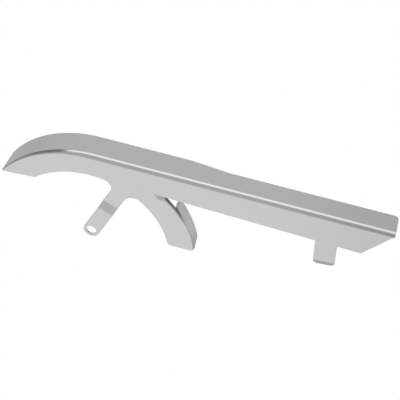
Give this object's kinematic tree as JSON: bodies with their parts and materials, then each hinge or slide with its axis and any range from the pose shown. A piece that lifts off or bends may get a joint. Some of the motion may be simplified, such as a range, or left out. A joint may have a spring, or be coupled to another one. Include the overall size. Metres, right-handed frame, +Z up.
{
  "type": "motorcycle belt guard",
  "caption": "Folded sheet-metal upper belt guard with a curved hood, stepped fixing bracket, curved debris deflector arm and front fixing tab, chrome plated.",
  "frame": {"origin": "centre of the rear fixing hole, on the outer face of the stepped bracket", "axes": "+X forward along the straight run, +Y inboard from the side wall, +Z up"},
  "size_m": [0.521, 0.0445, 0.1404],
  "materials": {
    "chromed_steel": "polished"
  },
  "bodies": {
    "root": {"belt_guard": "chromed_steel"}
  },
  "joints": []
}
